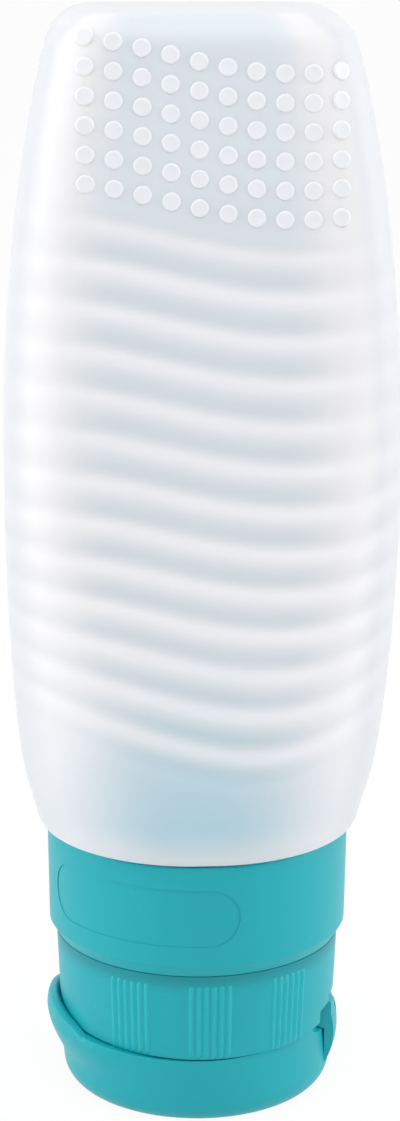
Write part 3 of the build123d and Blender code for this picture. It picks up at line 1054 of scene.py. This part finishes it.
    def seat(self, across: float, level: float, side: int) -> Matrix:
        """Place and turn of a dot that stands square on the skin.

        Args:
            across: Sideways place, as seen from that side.
            level: Height in millimetres.
            side: -1 for the front and 1 for the back.

        Returns:
            The placing matrix in metres.
        """
        reach = self.front_reach(across, level)
        step = 0.05
        slope_x = (self.front_reach(across + step, level) - reach) / step
        slope_z = (self.front_reach(across, level + step) - reach) / step
        out = Vector((-slope_x, -1.0, -slope_z)).normalized()
        turn = out.to_track_quat("Z", "Y").to_matrix().to_4x4()
        place = Matrix.Translation(Vector((across, -reach, level)) * MM) @ turn
        if side > 0:
            place = Matrix.Rotation(math.pi, 4, "Z") @ place
        return place

    def build_dots(self) -> Piece:
        """Builds the field of low round dots on the front and back panels.

        Returns:
            The dots, as one piece.
        """
        template = self.dot_mesh()
        tones = [self.dot_tone(vert.co) for vert in template.vertices]
        bm = bmesh.new()
        for side in (-1, 1):
            for row in range(self.dot_rows):
                for column in range(self.dot_columns):
                    across = self.dot_middle + self.dot_column_pitch * (
                        column - (self.dot_columns - 1) / 2
                    )
                    level = self.dot_first - self.dot_row_pitch * row
                    level += self.wave(across, level)
                    placed = template.copy()
                    placed.transform(self.seat(across, level, side))
                    bm.from_mesh(placed)
                    bpy.data.meshes.remove(placed)
        bpy.data.meshes.remove(template)
        milkiness_and_painted_light = bm.verts.layers.float.new("milkiness_and_painted_light")
        show_through = bm.verts.layers.float.new("show_through")
        for index, vert in enumerate(bm.verts):
            vert[milkiness_and_painted_light] = tones[index % len(tones)]
            vert[show_through] = self.dot_show
        return finish_mesh("grip_dots", bm)

    def build(self) -> None:
        """Builds the bottle's pieces and hangs them on the frame."""
        shell = self.build_shell()
        dots = self.build_dots()
        for piece, finish in ((shell, MILKY), (dots, DOTS)):
            dress(piece, finish)
            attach(piece, Body.BOTTLE.value)
        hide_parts("bottle_body")


def merged_copy(node: str) -> Mesh:
    """Copies a frame node's mesh and merges its loose triangles.

    Args:
        node: Name of the node.

    Returns:
        The merged mesh, in metres.
    """
    bm = bmesh.new()
    bm.from_mesh(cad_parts[node].data)
    bmesh.ops.remove_doubles(bm, verts=bm.verts, dist=0.0005 * MM)
    bmesh.ops.dissolve_degenerate(bm, edges=bm.edges, dist=0.0002 * MM)
    return bm


def keep_creases(bm: Mesh, least: float = 28.0) -> None:
    """Marks the edges that stay sharp under smooth shading.

    Args:
        bm: The mesh.
        least: Smallest angle of a sharp edge, in degrees.
    """
    for edge in bm.edges:
        edge.smooth = edge.is_manifold and edge.calc_face_angle() < math.radians(least)


@dataclass
class LabelRing:
    """The label ring, with its recess worn shallow and its lower edge close to the cap."""

    recess_low: float = 23.3
    wall_top: float = 35.2
    wall_radius: float = 19.5
    draft: float = 0.2
    recess_share: float = 0.45
    base: float = 21.1
    base_drop: float = 0.13
    base_inside: float = 17.9
    top: float = 35.6
    top_rise: float = 0.35
    edge: float = 0.4
    wall_height: float = 13.0

    def build(self) -> None:
        """Builds the ring from a merged copy of its node."""
        bm = merged_copy("collar_ring")
        for vert in bm.verts:
            x, y, z = vert.co / MM
            radius = math.hypot(x, y)
            slant = (self.wall_top + self.edge - z) / self.wall_height
            wall = self.wall_radius - self.draft * slant
            if self.recess_low < z < self.wall_top and wall - 0.5 < radius < wall - 0.03:
                scale = (wall - (wall - radius) * self.recess_share) / radius
                vert.co.x, vert.co.y = vert.co.x * scale, vert.co.y * scale
            elif z < self.base + 0.05 and radius > self.base_inside:
                vert.co.z -= self.base_drop * MM
            elif z > self.top - self.edge:
                vert.co.z += self.top_rise * MM
        keep_creases(bm)
        ring = finish_mesh("label_ring_shell", bm)
        dress(ring, TEAL)
        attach(ring, Body.LABEL_RING.value)
        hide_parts("collar_ring")


@dataclass
class GripCap:
    """The screw cap, with soft grip ribs in groups on its front and back."""

    foot: float = 9.2
    base: float = 9.3
    top: float = 20.9
    hinge_side: float = 14.5
    low_radius: float = 17.9
    top_radius: float = 18.4
    group_angles: tuple[float, ...] = (-31.8, 1.6, 36.4, 148.2, 181.6, 216.4)
    rib_count: int = 6
    rib_pitch: float = 3.05
    rib_relief: float = 0.17
    rib_sink: float = 0.05
    rib_low: float = 9.5
    rib_high: float = 19.7
    patch_depth: float = 0.4

    def wall(self, height: float) -> float:
        """Outer radius of the cap's plain wall at a height, in millimetres."""
        share = (height - self.foot) / (self.top - self.foot)
        return self.low_radius + (self.top_radius - self.low_radius) * share

    def shell(self) -> Mesh:
        """Copies the cap and takes its angular ribs back to the wall.

        Returns:
            The plain cap.
        """
        bm = merged_copy("cap_shell")
        for vert in bm.verts:
            x, y, z = vert.co / MM
            radius, wall = math.hypot(x, y), self.wall(z)
            ribbed = self.base < z < self.top - 0.6 and wall + 0.03 < radius < wall + 0.6
            if ribbed and x < self.hinge_side:
                vert.co.x, vert.co.y = vert.co.x * wall / radius, vert.co.y * wall / radius
        bmesh.ops.remove_doubles(bm, verts=bm.verts, dist=0.004 * MM)
        bmesh.ops.dissolve_degenerate(bm, edges=bm.edges, dist=0.001 * MM)
        return bm

    def rib_group(self, angle: float) -> Piece:
        """Builds one group of soft ribs, rooted in the wall.

        Args:
            angle: Place of its middle in degrees from the front, towards the hinge.

        Returns:
            The group.
        """
        bm = bmesh.new()
        bmesh.ops.create_grid(bm, x_segments=self.rib_count * 8, y_segments=16, size=1.0)
        plain = bm.verts[:]
        bmesh.ops.extrude_face_region(bm, geom=bm.faces[:], use_keep_orig=True)
        roots = set(bm.verts) - set(plain)
        half_turn = self.rib_count * self.rib_pitch / 2
        half_height = (self.rib_high - self.rib_low) / 2
        for vert in bm.verts:
            turn, height = vert.co.x * half_turn, self.rib_low + (1 + vert.co.y) * half_height
            profile = 0.5 - 0.5 * math.cos(2 * math.pi * (turn + half_turn) / self.rib_pitch)
            profile *= 1 - ease(abs(vert.co.y), 0.88, 1.0)
            radius = self.wall(height) - self.rib_sink + (self.rib_relief + self.rib_sink) * profile
            if vert in roots:
                radius = self.wall(height) - self.patch_depth
            place = math.radians(angle + turn)
            vert.co = Vector((radius * math.sin(place), -radius * math.cos(place), height)) * MM
        bmesh.ops.recalc_face_normals(bm, faces=bm.faces)
        return finish_mesh(f"grip_ribs_{round(angle) % 360}", bm)

    def build(self) -> None:
        """Builds the cap and its ribs and hangs them on the frame."""
        bm = self.shell()
        keep_creases(bm)
        cap = finish_mesh("grip_cap", bm)
        pieces = [cap] + [self.rib_group(angle) for angle in self.group_angles]
        for piece in pieces:
            # The grip ribs take the lighter teal of a painted highlight.
            dress(piece, SHADED_CAP_TEAL if piece is cap else LIT_RIB_TEAL)
            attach(piece, Body.CAP.value)
        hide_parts("cap_shell")


@dataclass
class ThumbLid:
    """The flip lid, whose thumb lip swells out of the wall and ends in a rounded nose."""

    foot: float = 3.0
    foot_radius: float = 17.56
    tip: float = 13.7
    tip_reach: float = 19.98
    lowering: float = 1.15
    lowering_start: float = 9.0
    cap_side: float = 18.45
    wall_side: float = 17.0
    lip_low: float = 9.25
    lip_gap: float = 0.12
    lip_start: float = -6.0
    cap: GripCap = field(default_factory=GripCap)
    cuts: tuple[float, ...] = (3.6, 4.3, 5.0, 5.7, 6.5, 7.3, 8.1, 9.0, 10.0, 11.0, 11.9, 12.6, 13.2)
    swell: tuple[Span, ...] = (
        (3.0, 17.56), (4.0, 17.66), (5.0, 17.92), (6.0, 18.42), (7.0, 18.92), (8.0, 19.34),
        (9.0, 19.62), (10.0, 19.76), (11.0, 19.66), (11.6, 19.4), (12.1, 18.98), (12.6, 18.6),
    )

    def reach(self, height: float) -> float:
        """Reads the lip's outer profile.

        Args:
            height: Height in millimetres.

        Returns:
            Its radius there in millimetres.
        """
        for (low, inner), (high, outer) in zip(self.swell, self.swell[1:]):
            if height <= high:
                return inner + (outer - inner) * max(height - low, 0.0) / (high - low)
        return self.swell[-1][1]

    def reshape(self, place: Vector) -> Vector:
        """Moves a point of the lip to its rounded form.

        Args:
            place: The point in millimetres.

        Returns:
            The moved point.
        """
        radius = math.hypot(place.x, place.y)
        if place.x > 0 or place.z < self.foot or radius < self.wall_side:
            return place
        weight = ease(-place.x / radius, 0.4, 0.97)
        height = place.z - self.lowering * weight * ease(place.z, self.lowering_start, self.tip)
        slant = (place.z - self.foot) / (self.tip - self.foot)
        plain = self.foot_radius + (self.tip_reach - self.foot_radius) * slant
        inner = self.cap_side if place.z > self.lowering_start else self.wall_side
        depth = min(max((radius - inner) / max(plain - inner, 0.1), 0.0), 1.0)
        moved = radius + weight * depth * (self.reach(height) - plain)
        close = self.cap.wall(height) + self.lip_gap
        tucked = weight * ease(place.z, self.lip_low, self.lip_low + 1.2) * (1 - depth)
        moved -= tucked * max(moved - close, 0.0)
        return Vector((place.x * moved / radius, place.y * moved / radius, height))

    def build(self) -> None:
        """Builds the lid from a merged copy of its node."""
        bm = merged_copy("flip_lid")
        for height in self.cuts:
            near = [f for f in bm.faces if f.calc_center_median().x < self.lip_start * MM]
            parts = set(near)
            for face in near:
                parts.update(face.edges)
                parts.update(face.verts)
            bmesh.ops.bisect_plane(
                bm,
                geom=list(parts),
                dist=0.001 * MM,
                plane_co=(0, 0, height * MM),
                plane_no=(0, 0, 1),
            )
        for vert in bm.verts:
            vert.co = self.reshape(vert.co / MM) * MM
        keep_creases(bm)
        lid = finish_mesh("thumb_lid", bm)
        dress(lid, TEAL)
        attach(lid, Body.LID.value)
        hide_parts("flip_lid")


@dataclass
class RigidPieces:
    """The moulded rigid pieces that keep the frame's own shape, with a better finish."""

    names: tuple[str, ...] = ("neck_insert", "neck_clamp", "valve_retainer")

    def build(self) -> None:
        """Dresses every such piece."""
        for name in self.names:
            dress(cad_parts[name], TEAL)


@dataclass
class ScrewThread:
    """The raised threads on the neck and in the cap, one turn each, half a pitch apart."""

    pitch: float = 4.0
    neck_root: float = 15.7
    cap_root: float = 16.3
    depth: float = 0.46
    root_width: float = 1.3
    crest_width: float = 0.6
    bury: float = 0.08
    neck_start: float = 16.8
    neck_turns: float = 1.0
    cap_start: float = 15.2
    cap_turns: float = 1.1
    cap_lead: float = 0.1
    steps_per_turn: int = 96
    run_out: int = 9

    def ridge(
        self, name: str, root: float, outward: int, start: float, turns: float, lead: float
    ) -> Piece:
        """Builds one raised helical ridge that runs out softly at both ends.

        Args:
            name: Name of the piece.
            root: Radius of the wall that carries it.
            outward: 1 for a ridge on a neck and -1 for one in a bore.
            start: Height of its lower end.
            turns: Number of turns.
            lead: Where its lower end starts, in turns from +X.

        Returns:
            The ridge.
        """
        deep, top = root - outward * self.bury, root + outward * self.depth
        half_root, half_crest = self.root_width / 2, self.crest_width / 2
        bm = bmesh.new()
        corners = ((deep, -half_root), (root, -half_root), (top, -half_crest))
        corners += tuple((radius, -height) for radius, height in reversed(corners))
        verts = [bm.verts.new((radius * MM, 0, (start + z) * MM)) for radius, z in corners]
        edges = [bm.edges.new((verts[i - 1], verts[i])) for i in range(len(verts))]
        steps = round(turns * self.steps_per_turn)
        turned_to = bmesh.ops.spin(
            bm,
            geom=verts + edges,
            cent=(0, 0, 0),
            axis=(0, 0, 1),
            dvec=(0, 0, self.pitch / self.steps_per_turn * MM),
            angle=2 * math.pi * steps / self.steps_per_turn,
            steps=steps,
        )["geom_last"]
        bm.verts.ensure_lookup_table()
        for index, vert in enumerate(bm.verts):
            step = index // len(corners)
            full = ease(step, -1, self.run_out) * (1 - ease(step, steps - self.run_out, steps + 1))
            radius = math.hypot(vert.co.x, vert.co.y)
            wall = root * MM
            if (radius - wall) * outward > 0:
                scale = (wall + (radius - wall) * full) / radius
                vert.co.x, vert.co.y = vert.co.x * scale, vert.co.y * scale
        bmesh.ops.contextual_create(bm, geom=edges)
        bmesh.ops.contextual_create(
            bm, geom=[item for item in turned_to if isinstance(item, bmesh.types.BMEdge)]
        )
        bmesh.ops.rotate(
            bm, verts=bm.verts, cent=(0, 0, 0), matrix=Matrix.Rotation(2 * math.pi * lead, 3, "Z")
        )
        bmesh.ops.recalc_face_normals(bm, faces=bm.faces)
        return finish_mesh(name, bm)

    def build(self) -> None:
        """Builds both ridges and hangs them on neck and cap."""
        neck = self.ridge("neck_thread", self.neck_root, 1, self.neck_start, self.neck_turns, 0.0)
        cap = self.ridge(
            "cap_thread", self.cap_root, -1, self.cap_start, self.cap_turns, self.cap_lead
        )
        for piece, body in ((neck, Body.BOTTLE), (cap, Body.CAP)):
            dress(piece, TEAL)
            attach(piece, body.value)


@dataclass
class MouthSeals:
    """Gasket between neck and cap, and the valve with its cross slit, both soft silicone."""

    gasket_inside: float = 13.1
    gasket_outside: float = 15.7
    gasket_base: float = 14.4
    gasket_height: float = 1.0
    gasket_groove: float = 0.12
    gasket_face: tuple[Span, ...] = (
        (0, 0), (0.2, 0), (0.3, 1), (0.4, 0), (0.6, 0), (0.7, 1), (0.8, 0), (1, 0),
    )
    gasket_edge: float = 0.12
    steps: int = 96
    valve_flange: float = 6.1
    valve_base: float = 5.9
    valve_flange_height: float = 1.2
    dome_radius: float = 3.7
    dome_drop: float = 0.6
    dome_flat: float = 2.9
    membrane: float = 0.7
    slit_length: float = 5.0
    slit_width: float = 0.15
    orifice: float = 4.0

    def milky_by_radius(self, piece: Piece, low: float, high: float) -> None:
        """Whitens a seal towards its thick parts.

        Args:
            piece: The seal.
            low: Radius in millimetres where it is thin.
            high: Radius where it is thick.
        """
        milk = piece.data.attributes.new("milkiness_and_painted_light", "FLOAT", "POINT")
        for vert, value in zip(piece.data.vertices, milk.data):
            value.value = ease(math.hypot(vert.co.x, vert.co.y) / MM, low, high)

    def build_gasket(self) -> Piece:
        """Builds the flat gasket with rounded edges and two sealing grooves in each face.

        Returns:
            The gasket.
        """
        low, high = self.gasket_base, self.gasket_base + self.gasket_height
        width = self.gasket_outside - self.gasket_inside
        face = [
            (self.gasket_inside + width * share, self.gasket_groove * sunk)
            for share, sunk in self.gasket_face
        ]
        profile = [(radius, low + sunk) for radius, sunk in face]
        profile += [(radius, high - sunk) for radius, sunk in reversed(face)]
        bm = turned(profile, self.steps)
        soften(bm, self.gasket_edge, 2, 60.0)
        gasket = finish_mesh("mouth_gasket_ring", bm)
        self.milky_by_radius(gasket, self.gasket_inside, self.gasket_inside + width / 2)
        return gasket

    def build_valve(self) -> Piece:
        """Builds the valve: a flange, a shallow dome and a slit crosswise through it.

        Returns:
            The valve.
        """
        base, top = self.valve_base, self.valve_base + self.valve_flange_height
        dome = base - self.dome_drop
        half = self.slit_length / 2
        bm = turned(
            [
                (0.0, dome),
                (half, dome),
                (self.dome_flat, dome + 0.04),
                (self.dome_flat + 0.5, dome + 0.24),
                (self.dome_radius, base),
                (self.valve_flange, base),
                (self.valve_flange, top),
                (self.orifice, top),
                (self.orifice - 0.4, base + 0.5),
                (self.dome_flat, dome + self.membrane),
                (half, dome + self.membrane),
                (0.0, dome + self.membrane),
            ],
            self.steps,
        )
        wide = self.slit_width / 2
        for axis in ((1, 0, 0), (0, 1, 0)):
            for side in (-1, 1):
                bmesh.ops.bisect_plane(
                    bm,
                    geom=bm.verts[:] + bm.edges[:] + bm.faces[:],
                    dist=0.0001 * MM,
                    plane_co=Vector(axis) * side * wide * MM,
                    plane_no=axis,
                )
        cut = []
        for face in bm.faces:
            middle = face.calc_center_median() / MM
            near, far = sorted((abs(middle.x), abs(middle.y)))
            if near < wide and far < half and middle.z < base:
                cut.append(face)
        bmesh.ops.delete(bm, geom=cut, context="FACES")
        loose = [e for e in bm.edges if e.is_boundary]
        bmesh.ops.bridge_loops(bm, edges=loose)
        bmesh.ops.recalc_face_normals(bm, faces=bm.faces)
        valve = finish_mesh("slit_valve", bm, smooth=False)
        self.milky_by_radius(valve, 2.0, self.dome_radius)
        return valve

    def build(self) -> None:
        """Builds both seals and hangs them on the frame."""
        for piece, body, node in (
            (self.build_gasket(), Body.MOUTH_SEAL, "mouth_gasket"),
            (self.build_valve(), Body.VALVE, "orifice_valve"),
        ):
            dress(piece, SEAL)
            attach(piece, body.value)
            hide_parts(node)


@dataclass(frozen=True)
class Lamp:
    """One soft rectangular lamp: its place and size in metres and its share of the power."""

    name: str
    place: Spot
    size: Span
    share: float


@dataclass
class Studio:
    """Pale floor, a white surround that is dimmer on the camera's side, and four soft lamps."""

    distance: float = 0.360
    camera_height: float = 0.168
    pitch: float = 15.2
    roll: float = 0.25
    turn: float = 4.0
    lens: float = 94.1
    side_shift: float = 0.00022
    front_dim: float = 0.6
    fill_level: float = 0.69
    floor_colour: Colour = (0.93, 0.93, 0.93)
    floor_white: float = 0.94
    floor_roughness: float = 0.9
    floor_gloss: float = 0.1
    floor_half: float = 4.0
    dim_range: Span = (-0.85, -0.1)
    sensor_height: float = 36.0
    clip: Span = (0.01, 50.0)
    aim: Spot = (0.0, 0.0, 0.07)
    lamp_power: float = 0.6
    lamps: tuple[Lamp, ...] = (
        Lamp("left_window", (-0.6, -0.02, 0.25), (0.4, 0.6), 3.1),
        Lamp("right_window", (0.6, -0.02, 0.25), (0.4, 0.6), 3.05),
        Lamp("top_sheet", (0.0, -0.3, 0.65), (0.4, 0.3), 2.1),
        Lamp("front_sheet", (0.0, -0.9, 0.55), (0.8, 0.5), 0.3),
    )

    def floor(self) -> None:
        """Builds the pale floor, which keeps a faint shadow."""
        bm = bmesh.new()
        bmesh.ops.create_grid(bm, x_segments=2, y_segments=2, size=self.floor_half)
        plane = finish_mesh("studio_floor", bm)
        material, nodes = new_material("studio_white")
        shader = {
            "Base Color": self.floor_colour,
            "Roughness": self.floor_roughness,
            "Specular IOR Level": self.floor_gloss,
        }
        mix = {
            "Fac": nodes.math("MULTIPLY", nodes.seen_rays(), self.floor_white),
            1: nodes.shade(shader).outputs[0],
            2: nodes.add("Emission", {}).outputs[0],
        }
        surface = nodes.add("MixShader", mix).outputs[0]
        nodes.feed(nodes.tree.nodes["Material Output"], {"Surface": surface})
        plane.data.materials.append(material)

    def surround(self) -> None:
        """Builds the world: white behind and beside the bottle, dimmer in front of it."""
        world = bpy.data.worlds.new("studio_surround")
        bpy.context.scene.world = world
        world.use_nodes = True
        nodes = FinishNodes(world.node_tree)
        dim = self.front_dim * self.fill_level
        level = nodes.ramp(nodes.axis("Y", "Generated"), *self.dim_range, dim, self.fill_level)
        seen = nodes.add("Mix", {"Factor": nodes.seen_rays(), "A": level, "B": 1.0})
        fill = {"Color": (1.0, 1.0, 1.0), "Strength": seen.outputs["Result"]}
        nodes.feed(world.node_tree.nodes["Background"], fill)

    def hang_lamp(self, lamp: Lamp) -> None:
        """Adds one lamp that points at the bottle.

        Args:
            lamp: The lamp.
        """
        data = bpy.data.lights.new(lamp.name, "AREA")
        data.shape = "RECTANGLE"
        data.size, data.size_y = lamp.size
        data.energy = self.lamp_power * lamp.share
        light = bpy.data.objects.new(lamp.name, data)
        bpy.context.scene.collection.objects.link(light)
        light.location = lamp.place
        aim = Vector(self.aim) - Vector(lamp.place)
        light.rotation_euler = aim.to_track_quat("-Z", "Y").to_euler()

    def camera(self) -> None:
        """Places the camera as the photograph was taken."""
        data = bpy.data.cameras.new("photo_camera")
        data.sensor_fit = "VERTICAL"
        data.sensor_height = self.sensor_height
        data.lens = self.lens
        data.clip_start, data.clip_end = self.clip
        camera = bpy.data.objects.new("photo_camera", data)
        bpy.context.scene.collection.objects.link(camera)
        turn = math.radians(-self.turn)
        spin = Matrix.Rotation(turn, 4, "Z")
        stand = Matrix.Translation((self.side_shift, -self.distance, self.camera_height))
        tilt = Matrix.Rotation(math.radians(90 - self.pitch), 4, "X")
        roll = Matrix.Rotation(math.radians(self.roll), 4, "Z")
        camera.matrix_world = spin @ stand @ tilt @ roll
        bpy.context.scene.camera = camera

    def build(self) -> None:
        """Builds the studio."""
        self.floor()
        self.surround()
        for lamp in self.lamps:
            self.hang_lamp(lamp)
        self.camera()
        bpy.context.scene.view_settings.view_transform = "Standard"
        log.info("studio ready")


def main() -> None:
    """Builds the bottle, its closure and the studio, in order."""
    Studio().build()
    SiliconeBottle().build()
    RigidPieces().build()
    LabelRing().build()
    GripCap().build()
    ThumbLid().build()
    ScrewThread().build()
    MouthSeals().build()
    bpy.context.view_layer.update()


if __name__ == "__main__":
    main()
